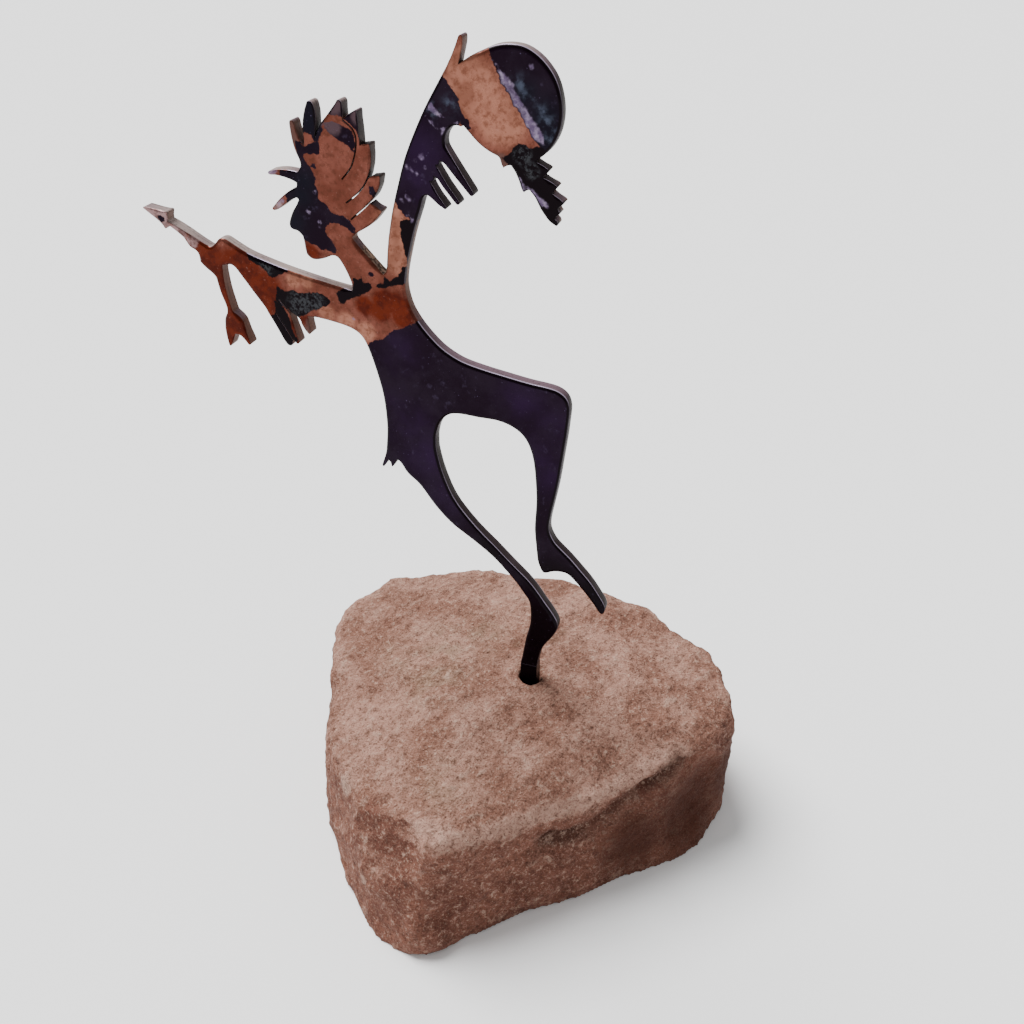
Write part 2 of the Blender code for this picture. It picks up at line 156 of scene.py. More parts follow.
# where each tone of the patina lies, in millimetres beside and above the foot of the post
patina = {
    "dark": {
        "lowerBody": [(-46, 97.5), (-41.5, 98.5), (-39, 100.5), (-37, 101), (-35.5, 102.5), (-33.5, 104),
                      (-31.5, 104.5), (-28.5, 106), (-26, 107.5), (-10, 103), (30, 100), (30, -20),
                      (-60, -20), (-60, 80)],
        "head": [(-62, 124), (-60, 128), (-58.5, 131.5), (-57.8, 132.6), (-58.3, 133.8), (-56.8, 135.2),
                 (-57, 137), (-58.8, 137.9), (-58.9, 139.4), (-55.5, 139.6), (-53.5, 140.5), (-53.4, 142),
                 (-54, 144), (-54.2, 146), (-52.6, 146), (-52.2, 144.8), (-50.8, 145.5), (-48.2, 146.8),
                 (-48, 145.2), (-48.5, 143.5), (-51, 143.4), (-52.8, 143.6), (-52.4, 142.3), (-50.8, 140.4),
                 (-50.1, 138.5), (-50.2, 136.5), (-49.6, 135), (-50, 133.2), (-48, 132.6), (-47, 131),
                 (-45, 130.6), (-43.5, 130.3), (-42.2, 129), (-41.2, 127.6), (-41.8, 126.7), (-43.5, 127.4),
                 (-45.5, 128.4), (-47.5, 128.3), (-49, 127), (-48.9, 125.6), (-47.4, 123.9), (-46.3, 122.3),
                 (-46.9, 121.4), (-48.8, 121.9), (-50.2, 121.7), (-52, 122.7), (-54, 123.4),
                 (-55.6, 123.5)],
        "secondFeather": [(-52.5, 147.8), (-51.5, 156), (-47, 156), (-46.5, 151), (-47.2, 148.5),
                          (-48.2, 146.5), (-49.6, 146), (-50.2, 147.6), (-51.4, 148)],
        "crownLens": [(-46.5, 150.4), (-44.5, 150.7), (-42, 149.9), (-40, 149.2), (-39.4, 147.5),
                      (-39.8, 144.7), (-41.5, 146), (-43.5, 147), (-45, 148), (-46.2, 149)],
        "thirdFeather": [(-46, 152.4), (-44.5, 156), (-39.5, 157), (-40.2, 152.8), (-42, 151.8),
                         (-43.2, 152.2), (-44.8, 151.9)],
        "fourthFeather": [(-42, 151.4), (-39.5, 153.6), (-37.5, 154.5), (-36, 154.5), (-36.6, 147.5),
                          (-38.3, 147.2), (-39, 149.4), (-40.8, 150.8)],
        "raisedArm": [(-33, 134.8), (-31, 135.2), (-30, 133), (-28, 131.2), (-26.8, 130.8), (-22, 131),
                      (-8, 134), (-10, 141), (-17.5, 149), (-15.5, 152), (-14.7, 153.5), (-15, 156.8),
                      (-16.5, 159), (-18, 161), (-19.5, 162.4), (-26, 157), (-31.5, 146), (-32.3, 139)],
        "drum": [(-9, 170), (-8.7, 166.7), (-8, 165), (-7.2, 163), (-6, 160.3), (-4, 157.8), (-2, 155),
                 (0, 151.5), (1.5, 149.8), (2.5, 149), (4, 146), (12, 146), (12, 170)],
        "drumEdge": [(-14.6, 154.2), (-13.1, 152.9), (-12.6, 151.4), (-14, 151), (-15, 152.5)],
        "featherSpot": [(-37.1, 137.6), (-36.2, 137.7), (-35.5, 136.9), (-35.2, 135.6), (-36.3, 135.2),
                        (-37, 136.2)],
    },
    "black": {
        "shoulder": [(-48, 111.5), (-46.3, 112.7), (-44, 112.8), (-42.7, 114.6), (-42.9, 115.8),
                     (-41.9, 115.3), (-40.8, 116.3), (-40.3, 114.8), (-38.8, 115.5), (-38.2, 113.9),
                     (-39.6, 112.5), (-41.7, 111.7), (-44, 110.7), (-46.5, 109), (-48, 108.6),
                     (-47.2, 110)],
        "collar": [(-37.6, 115), (-35.5, 115.3), (-34.8, 117.2), (-33.6, 116.2), (-31.6, 117.5), (-30, 120),
                   (-28.4, 119.6), (-28.6, 116), (-31.7, 115.4), (-34.3, 114.5), (-36.9, 113.9)],
        "armWedge": [(-30, 130.9), (-26.7, 131.3), (-25, 130.5), (-27, 122), (-28.8, 114), (-29.3, 118),
                     (-29.2, 122), (-29.6, 125), (-30.1, 127.4)],
        "pendant": [(-6, 146.2), (-5.5, 146.8), (-4.2, 147.4), (-3.6, 148.5), (-2.2, 149.3), (-0.7, 149.3),
                    (0.2, 148.6), (1.7, 149), (3.2, 148.6), (3.4, 147), (12, 145), (12, 130), (2, 130),
                    (-3.6, 141), (-3.6, 144)],
        "leftArm": [(-71, 118.8), (-67.4, 118), (-65.4, 117.3), (-60.7, 116.3), (-60.6, 115.2),
                    (-62.6, 114.4), (-64, 113.5), (-65.4, 113.6), (-66, 114.8), (-68.2, 116.2),
                    (-70.5, 117.2)],
        "firstFringe": [(-66.8, 103.2), (-65.2, 104.3), (-64.9, 107.2), (-63.2, 106.8), (-61.6, 104),
                        (-61.5, 101), (-59.8, 97.5), (-62, 94.5), (-65, 95)],
        "grainyPatch": [(-63.8, 111.4), (-62, 110.3), (-59.9, 110.8), (-58.3, 110.2), (-55, 110.6),
                        (-52.8, 111.1), (-50.8, 110.3), (-49.3, 109.2), (-50.6, 107.8), (-53, 106.8),
                        (-55.2, 106), (-57, 104.7), (-59.2, 103.9), (-60.8, 104.3), (-61.8, 105.6),
                        (-63.4, 106.2), (-64.5, 107.5)],
    },
    "lilac": {
        "drumStreak": [(-8.3, 165.2), (-7.4, 164.6), (-6.6, 163.4), (-5.1, 162.5), (-3.8, 161.2),
                       (-3.2, 160), (-2.3, 158.4), (-1.5, 157.2), (-0.2, 155.7), (1, 154.1), (2.2, 152.6),
                       (3, 151.3), (3.4, 149.2), (1.3, 150), (0, 151.6), (-2, 155), (-4, 158), (-6, 160.5),
                       (-7, 163)],
        "armStreakHigh": [(-22.3, 156.4), (-20.8, 155.8), (-20.3, 154.6), (-18.9, 153.7), (-17.8, 153.1),
                          (-19.2, 153.2), (-20.8, 154), (-22.6, 154.9)],
        "armStreakMiddle": [(-23.5, 153.8), (-22.2, 153.1), (-21, 152), (-20.5, 151), (-19.3, 150.2),
                            (-18.3, 149.4), (-19.6, 150.2), (-20.9, 151.2), (-22, 152.3)],
        "armStreakLow": [(-19.8, 151.1), (-17.8, 151.4), (-17, 152), (-15.4, 152.8), (-15.5, 152.3),
                         (-16.6, 151.3), (-17.6, 150.3), (-18.8, 150)],
        "pendantSide": [(-3.3, 143.4), (-2, 142.8), (-0.9, 141.2), (1, 140.2), (2.5, 139), (4, 138),
                        (4.8, 136.2), (2.8, 136.8), (1.3, 138.3), (0, 140), (-1.4, 139.8), (-2.6, 142)],
        "upperSpikeEnd": [(-63, 140), (-59.3, 140), (-59.3, 138.6), (-63, 137.6)],
        "lowerSpikeEnd": [(-61, 131.8), (-58.9, 133.6), (-58.3, 132.2), (-60.6, 130.6)],
    },
}

# round marks: across, up, radius
patinaSpots = {
    "dark": [(-50.1, 141, 0.7), (-93.2, 125, 0.8), (-38.4, 117.3, 0.7)],
    "lilac": [(-52.7, 130.6, 0.7), (-50.3, 128.3, 0.5), (-50.4, 127.2, 0.5), (-50.5, 135.2, 0.5),
              (-24.1, 145.1, 0.75), (-25.6, 144.2, 0.4), (-27.6, 142.7, 0.6), (-26.8, 142.2, 0.55),
              (-23.5, 142.9, 0.5), (-25.4, 141.4, 0.4), (-27.5, 135.5, 0.6), (-28, 136.3, 0.5),
              (-29.3, 135.2, 0.5), (-21.5, 142, 0.4), (-28, 131.8, 0.5), (-27, 131, 0.6),
              (0.2, 164.3, 0.65), (-43.9, 105.4, 0.5)],
}

# soft zones: across, up, how far they reach
patinaZones = {
    # painted shade: the first zones darken the lower legs and the post towards black
    "paintedLowShade": [(8, 35, 13), (3, 20, 15), (1, 4, 14), (-8, 46, 8), (18, 34, 9)],
    # painted shade on inner cut walls: between and along the legs, under the drum, by the raised arm and the
    # feathers
    "shadedWall": [(-10, 55, 22), (-20, 72, 14), (-22, 84, 9), (5, 25, 25), (14, 40, 20), (12, 75, 20),
                (11, 160, 7), (10, 152, 7), (5, 146, 6), (-16, 137, 7), (-12, 141, 7), (-37, 146, 6),
                (-36, 138, 6)],
    "violet": [(-31, 80, 9), (-26, 70, 9), (-20, 60, 8), (7, 82, 9), (6, 72, 8), (-33, 98, 7),
               (-26, 140, 7), (-24, 146, 7), (-1, 90, 7)],
    "navy": [(-57, 128, 4.5), (-54, 134, 4), (-53, 137, 4), (-50, 150, 5), (-49, 154, 4), (3, 155, 5),
             (4, 151, 5), (-1, 159, 3.5)],
    "brown": [(-54, 120, 4), (-82, 116, 7), (-79, 108, 7), (-78, 98, 9), (-73, 114, 8), (-68, 109, 8),
              (-60, 98, 6), (-57, 101, 5), (-35.5, 111, 4), (-32, 110.5, 4), (-31, 107.5, 3.5),
              (-36.5, 108.5, 3.6), (-40.5, 109, 3.2)],
    "mauve": [(-44, 154.5, 4), (-44.5, 149.8, 3), (-38.5, 152, 2.5), (-46.5, 150.5, 2), (-5.8, 145, 1.5)],
    "cloud": [(-1.9, 160.6, 2), (-0.6, 158.4, 1.8), (2.5, 155.9, 1.6), (3.4, 154.1, 2), (4.4, 152, 1.8),
              (3.9, 150.4, 1.6), (-21, 154.5, 2), (-17, 156, 2)],
    "grainy": [(-58, 107.5, 5), (-54, 108.8, 4), (-1.5, 147, 3), (0.5, 144, 2.5), (-66, 116, 3)],
    "bright": [(-12, 159, 9), (-6, 154, 8), (-14, 163, 6), (-20, 160, 4), (-32, 128, 7), (-31, 122, 6),
               (-32, 134, 4), (-59, 113.3, 2.6), (-55.5, 113.4, 2.4), (-46, 104.5, 3.5), (-41, 102.5, 3.5),
               (-51, 106, 3)],
    # pale cut walls at the head, arm and feathers: partly tarnish, partly painted light, as the pale shows only
    # where a wall faces up
    "paleWall": [(-90, 122, 12), (-75, 120, 14), (-60, 116, 12), (-48, 112, 8), (-60, 139, 6),
                 (-60, 133, 6), (-46, 155, 6), (-5, 169, 7), (-52, 155, 5)],
    "stoneWall": [(-39, 121, 4), (-36, 118, 4)],
    "silvery": [(-96.5, 126.5, 3), (-93, 125, 4), (-89, 122.3, 3.5), (-85.5, 120.3, 2.2), (-61.8, 139, 2.6),
                (-60.4, 131.4, 2.2)],
    "umber": [(-56.8, 151, 5), (-55.6, 147, 3.5), (-57.5, 99.5, 4), (-55, 102, 3), (-6, 145.5, 2.5)],
}


# a patch's depth in millimetres: what counts as far off, and where it stops counting
farOff, deepest = 9.0, 3


def insidePatch(flat, outline):
    corners = numpy.array(outline, dtype=float)
    ends = numpy.roll(corners, -1, axis=0)
    nearest = numpy.full(len(flat), farOff)
    inside = numpy.zeros(len(flat), dtype=bool)
    for (ax, az), (bx, bz) in zip(corners, ends):
        along = numpy.array((bx - ax, bz - az))
        t = numpy.clip(((flat - (ax, az)) @ along) / (along @ along), 0, 1)
        gap = numpy.hypot(flat[:, 0] - ax - t * along[0], flat[:, 1] - az - t * along[1])
        nearest = numpy.minimum(nearest, gap)
        crosses = (az > flat[:, 1]) != (bz > flat[:, 1])
        if az != bz:
            inside ^= crosses & (flat[:, 0] < (bx - ax) * (flat[:, 1] - az) / (bz - az) + ax)
    return numpy.where(inside, nearest, -nearest)


def meshArrays(mesh):
    spots, normals = numpy.empty(len(mesh.vertices) * 3), numpy.empty(len(mesh.vertices) * 3)
    mesh.vertices.foreach_get("co", spots)
    mesh.vertex_normals.foreach_get("vector", normals)
    return spots.reshape(-1, 3), normals.reshape(-1, 3)


def writeField(mesh, name, values):
    mesh.attributes.new(name, "FLOAT", "POINT").data.foreach_set("value", values)


def toneDepth(flat, tone):
    depth = numpy.full(len(flat), -farOff)
    for outline in patina[tone].values():
        depth = numpy.maximum(depth, insidePatch(flat, outline))
    for x, z, radius in patinaSpots.get(tone, []):
        depth = numpy.maximum(depth, radius - numpy.hypot(flat[:, 0] - x, flat[:, 1] - z))
    return depth


def zoneWeight(flat, zones):
    weight = numpy.zeros(len(flat))
    for x, z, reach in zones:
        away = numpy.hypot(flat[:, 0] - x, flat[:, 1] - z) / reach
        weight = numpy.maximum(weight, numpy.exp(-falloff * away ** 2))
    return weight


def paintPlate(mesh):
    spots, normals = meshArrays(mesh)
    flat = numpy.stack(((spots[:, 0] - postX), spots[:, 2] - rockTop), axis=1) * 1000
    atBack = spots[:, 1] > (frontY + backY) / 2
    for tone in patina:
        depth = toneDepth(flat, tone)
        if tone != "dark":
            depth[atBack] = -farOff
        writeField(mesh, tone + "Depth", numpy.clip(depth, -deepest, deepest))
    for tone, zones in patinaZones.items():
        writeField(mesh, tone, zoneWeight(flat, zones))
    writeField(mesh, "edge", 1 - numpy.abs(normals[:, 1]))
    writeField(mesh, "skyward", numpy.clip(normals[:, 2], 0, 1))


def makePlate():
    bm = cleanPlate(plateNode)
    print("plate outline", len(outlineEdges(bm, -1)[1]))
    softenOutline(bm)
    front = roundEdge(bm, -1, plateSize["frontRound"])
    back = roundEdge(bm, 1, plateSize["backRound"])
    print("plate edges rounded", len(bm.faces))
    gridFace(bm, front, plateSize["frontGrid"])
    gridFace(bm, back, plateSize["backGrid"])
    print("plate gridded", len(bm.faces))
    mesh = bpy.data.meshes.new("dancerPlate")
    bm.to_mesh(mesh)
    bm.free()
    plate = bpy.data.objects.new("dancerPlate", mesh)
    bpy.context.collection.objects.link(plate)
    mesh.shade_smooth()
    mesh.set_sharp_from_angle(angle=math.radians(plateSize["sharpAngle"]))
    paintPlate(mesh)
    return plate


# the sandstone, in metres
rockSize = {
    "voxel": 0.0010, "smoothRounds": 2,
    "broadSwell": 0.0010, "broadSpacing": 0.014,
    "fineSwell": 0.00055, "fineSpacing": 0.0042,
    "grainSwell": 0.00022, "grainSpacing": 0.0013,
    "chipShare": 0.92, "chipCore": 0.5, "chipRadius": 0.03,
    "holeClear": 0.005, "holeFade": 0.004,  # the swells die away round the hole
    "footFade": 0.003, "footFlat": 0.0004,  # and towards the flat underside
}

# a pale dusting and painted light lie on what faces the sky and on the left end, less of both low down, in
# millimetres
rockDustAndLight = {"leftShare": 1.4, "leftFrom": 0.5, "lowShare": 0.5, "lowBelow": 26}

# flat chips knocked off the rock: a spot on it in millimetres, the way the chip faces,
# how deep it goes and how far it reaches
rockChips = [
    ((-27, -53, 34), (-0.25, -0.92, 0.30), 1.4, 17),
    ((52, -14, 22), (0.86, -0.50, 0.05), 1.0, 18),
]

# soft swells: a spot on the rock in millimetres, how far it moves, and its reach
rockSwells = [
    ((-61, 3, 43), (-3.6, 0, 0.2), 16),
    ((-63, 20, 42), (-1.6, 0.3, 0), 12),
    ((58, -8, 14), (-2.0, 0.6, 0), 22),
    ((-6, -62, 5), (0.6, -2.2, 0), 8),
    ((-21, -61, 5), (-0.3, 1.0, 0), 4),
    ((28, -28, 40), (0.5, -0.9, 0.2), 8),
    ((14, -41, 40), (0.3, -1.0, 0.2), 9),
]

# the broken hollow under the front lip, followed from right to left, with its depth and half width,
# and the lip above it; the hollow is painted with shade and the lip painted pale as a highlight
rockHollow = {
    "path": [(47, -10, 36), (44, -13, 34), (39, -18, 32), (35, -22, 29.5), (31, -26, 27), (27, -30, 25),
             (22, -34, 24), (17, -38, 25)],
    "deep": 4.2, "half": 3.6, "pathReach": 6.0,
    "inward": (-0.66, 0.72, 0.20),
    "above": 0.5, "below": 1.9, "falloff": 1.4,  # steep against the lip, easing out downwards
    "lip": [(46, -8, 38), (43.5, -10, 37.5), (38.3, -16, 37), (32, -23.5, 36), (24, -31, 34.5),
            (15.5, -38, 34.5), (7.6, -45, 35), (0.7, -51.5, 35.5), (-7, -55, 37), (-15, -52, 38)],
    "lipReach": 4.6,
}


def gapToPath(spots, path):
    nearest, side = numpy.full(len(spots), 99.0), numpy.zeros(len(spots))
    for start, end in zip(numpy.array(path[:-1], dtype=float), numpy.array(path[1:], dtype=float)):
        along = end - start
        t = numpy.clip(((spots - start) @ along) / (along @ along), 0, 1)
        gap = spots - start - t[:, None] * along
        length = numpy.linalg.norm(gap, axis=1)
        side = numpy.where(length < nearest, gap[:, 2], side)
        nearest = numpy.minimum(nearest, length)
    return nearest, side


def knockChips(bm):
    core = rockSize["chipCore"]
    for place, way, deep, reach in rockChips:
        centre, way = Vector(place) / 1000, Vector(way).normalized()
        centre = min(bm.verts, key=lambda v: (v.co - centre).length).co.copy()
        level = -deep / 1000
        for vert in bm.verts:
            gap = vert.co - centre
            height = gap.dot(way)
            away = (gap - way * height).length / (reach / 1000)
            if height > level and away < 1 and gap.length < rockSize["chipRadius"]:
                hold = 1 - max(0.0, (away - core) / (1 - core)) ** 2
                vert.co -= way * (height - level) * rockSize["chipShare"] * hold


def raiseSwells(bm):
    for place, move, reach in rockSwells:
        centre, move = Vector(place) / 1000, Vector(move) / 1000
        for vert in bm.verts:
            away = (vert.co - centre).length / (reach / 1000)
            if away < 1.8:
                vert.co += move * math.exp(-falloff * away * away)


def breakHollow(bm):
    path = [min(bm.verts, key=lambda v: (v.co - Vector(p) / 1000).length).co * 1000 for p in rockHollow["path"]]
    nearest, side = gapToPath(numpy.array([v.co for v in bm.verts]) * 1000, path)
    inward = Vector(rockHollow["inward"])
    wide = rockHollow["half"] * numpy.where(side > 0, rockHollow["above"], rockHollow["below"])
    depths = rockHollow["deep"] / 1000 * numpy.exp(-rockHollow["falloff"] * (nearest / wide) ** 2)
    for vert, depth in zip(bm.verts, depths):
        if depth > 0.00002:
            vert.co += inward * float(depth)


def roughen(bm):
    bm.normal_update()
    for vert in bm.verts:
        spot = vert.co.copy()
        broad = noise.fractal(spot / rockSize["broadSpacing"] + Vector((7, 3, 1)), 0.8, 2.0, 3)
        fine = noise.fractal(spot / rockSize["fineSpacing"], 0.7, 2.1, 3)
        grit = noise.noise(spot / rockSize["grainSpacing"])
        swell = broad * rockSize["broadSwell"] + fine * rockSize["fineSwell"] + grit * rockSize["grainSwell"]
        fromHole = (math.hypot(spot.x, spot.y) - rockSize["holeClear"]) / rockSize["holeFade"]
        fade = min(1.0, max(0.0, fromHole)) * min(1.0, spot.z / rockSize["footFade"])
        vert.co += vert.normal * swell * fade
    for vert in bm.verts:
        if vert.co.z < rockSize["footFlat"]:
            vert.co.z = 0.0


def evenFaces(rock):
    remesh = rock.modifiers.new("even faces", "REMESH")
    remesh.mode = "VOXEL"
    remesh.voxel_size = rockSize["voxel"]
    fine = bpy.data.meshes.new_from_object(rock.evaluated_get(bpy.context.evaluated_depsgraph_get()))
    rock.modifiers.clear()
    rock.data = fine
    return fine


def makeRock():
    mesh = rockNode.data.copy()
    bm = bmesh.new()
    bm.from_mesh(mesh)
    bmesh.ops.remove_doubles(bm, verts=bm.verts[:], dist=weldGap)
    bm.to_mesh(mesh)
    bm.free()
    rock = bpy.data.objects.new("sandstoneBlock", mesh)
    bpy.context.collection.objects.link(rock)
    fine = evenFaces(rock)
    bm = bmesh.new()
    bm.from_mesh(fine)
    for _ in range(rockSize["smoothRounds"]):
        bmesh.ops.smooth_vert(bm, verts=bm.verts[:], factor=0.5,
                              use_axis_x=True, use_axis_y=True, use_axis_z=True)
    knockChips(bm)
    raiseSwells(bm)
    breakHollow(bm)
    print("rock shaped")
    roughen(bm)
    bm.to_mesh(fine)
    bm.free()
    fine.shade_smooth()
    return rock


plate = makePlate()
rock = makeRock()
print("rock", len(rock.data.polygons))


# camera, floor and light
studio = {
    "lens": 34.7,
    "camera": (0.0608, -0.200, 0.2014),  # from the foot of the post, in front of the plate
    "tilt": 55.6, "turn": 17.9,
    "floorTone": 0.95, "floorSize": 12.0, "floorRoughness": 0.9, "floorSpecular": 0.1,
    "air": 0.55,
    "overhead": 6.2, "overheadFrom": (-0.50, 0.20, 0.90), "softness": 38,
}


def placeCamera():
    cameraData = bpy.data.cameras.new("camera")
    cameraData.lens = studio["lens"]
    cameraData.sensor_width = 36
    camera = bpy.data.objects.new("camera", cameraData)
    x, y, z = studio["camera"]
    camera.location = (x + postX, y + frontY, z + rockTop)
    camera.rotation_euler = Euler((math.radians(studio["tilt"]), 0, math.radians(studio["turn"])))
    bpy.context.collection.objects.link(camera)
    bpy.context.scene.camera = camera


def layFloor():
    bm = bmesh.new()
    bmesh.ops.create_grid(bm, x_segments=1, y_segments=1, size=studio["floorSize"])
    floorMesh = bpy.data.meshes.new("floor")
    bm.to_mesh(floorMesh)
    bm.free()
    floor = bpy.data.objects.new("floor", floorMesh)
    bpy.context.collection.objects.link(floor)
    paper = bpy.data.materials.new("palePaper")
    paper.use_nodes = True
    shader = paper.node_tree.nodes["Principled BSDF"]
    shader.inputs["Base Color"].default_value = (studio["floorTone"],) * 3 + (1,)
    shader.inputs["Roughness"].default_value = studio["floorRoughness"]
    shader.inputs["Specular IOR Level"].default_value = studio["floorSpecular"]
    floorMesh.materials.append(paper)


def lightScene():
    world = bpy.data.worlds.new("studioAir")
    bpy.context.scene.world = world
    world.use_nodes = True
    world.node_tree.nodes["Background"].inputs["Color"].default_value = (1, 1, 1, 1)
    world.node_tree.nodes["Background"].inputs["Strength"].default_value = studio["air"]

    lampData = bpy.data.lights.new("overhead", "SUN")
    lampData.energy = studio["overhead"]
    lampData.angle = math.radians(studio["softness"])
    lamp = bpy.data.objects.new("overhead", lampData)
    lamp.rotation_euler = Vector(studio["overheadFrom"]).to_track_quat("Z", "Y").to_euler()
    bpy.context.collection.objects.link(lamp)


placeCamera()
layFloor()
lightScene()


# small helpers for the materials
def feed(tree, value, socket):
    if isinstance(value, bpy.types.NodeSocket):
        tree.links.new(value, socket)
    else:
        socket.default_value = value


def field(tree, name):
    node = tree.nodes.new("ShaderNodeAttribute")
    node.attribute_name = name
    return node.outputs["Fac"]


def grain(tree, scale, detail=3.0, rough=0.6, stretch=(1, 1, 1), shift=(0, 0, 0), turn=0):
    place = tree.nodes.new("ShaderNodeMapping")
    place.vector_type = "TEXTURE"
    place.inputs["Rotation"].default_value = (0, 0, math.radians(turn))
    place.inputs["Scale"].default_value = stretch
    place.inputs["Location"].default_value = shift
    tree.links.new(tree.nodes.new("ShaderNodeTexCoord").outputs["Object"], place.inputs["Vector"])
    node = tree.nodes.new("ShaderNodeTexNoise")
    node.inputs["Scale"].default_value = scale
    node.inputs["Detail"].default_value = detail
    node.inputs["Roughness"].default_value = rough
    tree.links.new(place.outputs[0], node.inputs["Vector"])
    return node.outputs[0]


def step(tree, value, low, high, start=0.0, end=1.0):
    node = tree.nodes.new("ShaderNodeMapRange")
    node.interpolation_type = "SMOOTHSTEP"
    for socket, number in zip(list(node.inputs)[:5], (value, low, high, start, end)):
        feed(tree, number, socket)
    return node.outputs[0]


def sums(tree, operation, first, second):
    node = tree.nodes.new("ShaderNodeMath")
    node.operation = operation
    feed(tree, first, node.inputs[0])
    feed(tree, second, node.inputs[1])
    return node.outputs[0]


def blend(tree, share, first, second):
    node = tree.nodes.new("ShaderNodeMix")
    node.data_type = "RGBA"
    feed(tree, share, node.inputs[0])
    feed(tree, first, node.inputs[6])
    feed(tree, second, node.inputs[7])
    return node.outputs[2]


def times(tree, first, second):
    return sums(tree, "MULTIPLY", first, second)


def plus(tree, first, second):
    return sums(tree, "ADD", first, second)


def around(tree, value, spread):
    return times(tree, sums(tree, "SUBTRACT", value, 0.5), spread)


def newLook(name):
    look = bpy.data.materials.new(name)
    look.use_nodes = True
    return look, look.node_tree, look.node_tree.nodes["Principled BSDF"]


def finish(tree, shader, surface, roughness, heights, numbers):
    bump = tree.nodes.new("ShaderNodeBump")
    bump.inputs["Strength"].default_value = numbers["bump"]
    bump.inputs["Distance"].default_value = numbers["bumpHeight"]
    feed(tree, heights, bump.inputs["Height"])
    tree.links.new(surface, shader.inputs["Base Color"])
    tree.links.new(roughness, shader.inputs["Roughness"])
    tree.links.new(bump.outputs[0], shader.inputs["Normal"])
    shader.inputs["Specular IOR Level"].default_value = numbers["specular"]


# flame-coloured steel under a clear lacquer; every colour is the share of light it gives back
patinaLook = {
    "copper": (0.165, 0.052, 0.036), "copperDeep": (0.115, 0.032, 0.020), "mottle": (0.070, 0.020, 0.011),
    "bright": (0.315, 0.130, 0.088), "brightDeep": (0.205, 0.078, 0.050), "brightMottle": (0.130, 0.043, 0.024),
    "fleck": (0.420, 0.220, 0.180),
    "brown": (0.090, 0.010, 0.002), "brownDeep": (0.048, 0.004, 0.001),
    "dark": (0.006, 0.001, 0.006), "darkSoft": (0.011, 0.005, 0.012), "violet": (0.017, 0.005, 0.027),
    "navy": (0.004, 0.004, 0.009), "mauve": (0.075, 0.044, 0.052), "cloud": (0.050, 0.060, 0.090),
    "speck": (0.130, 0.100, 0.190), "black": (0.003, 0.0007, 0.002), "ash": (0.036, 0.038, 0.043),
    "silver": (0.300, 0.190, 0.190), "silverDeep": (0.110, 0.060, 0.056), "umber": (0.085, 0.045, 0.038),
    "lilac": (0.245, 0.190, 0.285), "lilacDeep": (0.110, 0.075, 0.140),
    # the last wall tone on the next line is painted light for cut walls that face up
    "wallDark": (0.024, 0.017, 0.018), "wallBrown": (0.100, 0.050, 0.036), "wallSkyLit": (0.150, 0.098, 0.120),
    # the last wall tone on the next line is painted shade for inner cut walls
    "wallPale": (0.330, 0.260, 0.240), "wallRust": (0.085, 0.034, 0.022), "wallShade": (0.020, 0.014, 0.013),
    "stone": (0.230, 0.150, 0.110), "stoneDeep": (0.050, 0.030, 0.022),
    # painted highlight colour for the front edge of the cut walls
    "rimHighlight": (0.420, 0.350, 0.460),
    "coat": 0.05, "coatRoughness": 0.10, "specular": 0.025,
    "bump": 0.25, "bumpHeight": 0.00012,
}


def steelTone(name):
    return (*patinaLook[name], 1)


def copperFront(tree, ragged):
    broad = step(tree, grain(tree, 190, 3), 0.38, 0.62)
    mottled = step(tree, grain(tree, 620, 5, 0.7, shift=(3, 1, 2)), 0.46, 0.64)
    copper = blend(tree, broad, steelTone("copper"), steelTone("copperDeep"))
    copper = blend(tree, times(tree, mottled, 0.6), copper, steelTone("mottle"))
    bright = blend(tree, broad, steelTone("bright"), steelTone("brightDeep"))
    bright = blend(tree, times(tree, mottled, 0.75), bright, steelTone("brightMottle"))
    copper = blend(tree, step(tree, field(tree, "bright"), 0.2, 0.7), copper, bright)
    burnt = step(tree, grain(tree, 380, 4, shift=(1, 5, 0)), 0.40, 0.62)
    brown = blend(tree, burnt, steelTone("brown"), steelTone("brownDeep"))
    browned = plus(tree, field(tree, "brown"), times(tree, ragged, 0.3))
    copper = blend(tree, step(tree, browned, 0.15, 0.6, 0, 0.92), copper, brown)
    flecks = step(tree, grain(tree, 1500, 2), 0.65, 0.78, 0, 0.22)
    copper = blend(tree, flecks, copper, steelTone("fleck"))
    clouded = times(tree, ragged, 0.35)
    dulled = plus(tree, field(tree, "umber"), clouded)
    copper = blend(tree, step(tree, dulled, 0.25, 0.7, 0, 0.85), copper, steelTone("umber"))
    tarnish = step(tree, grain(tree, 520, 4, shift=(2, 7, 7)), 0.42, 0.64)
    silver = blend(tree, tarnish, steelTone("silver"), steelTone("silverDeep"))
    silvered = plus(tree, field(tree, "silvery"), clouded)
    return blend(tree, step(tree, silvered, 0.3, 0.7, 0, 0.9), copper, silver)


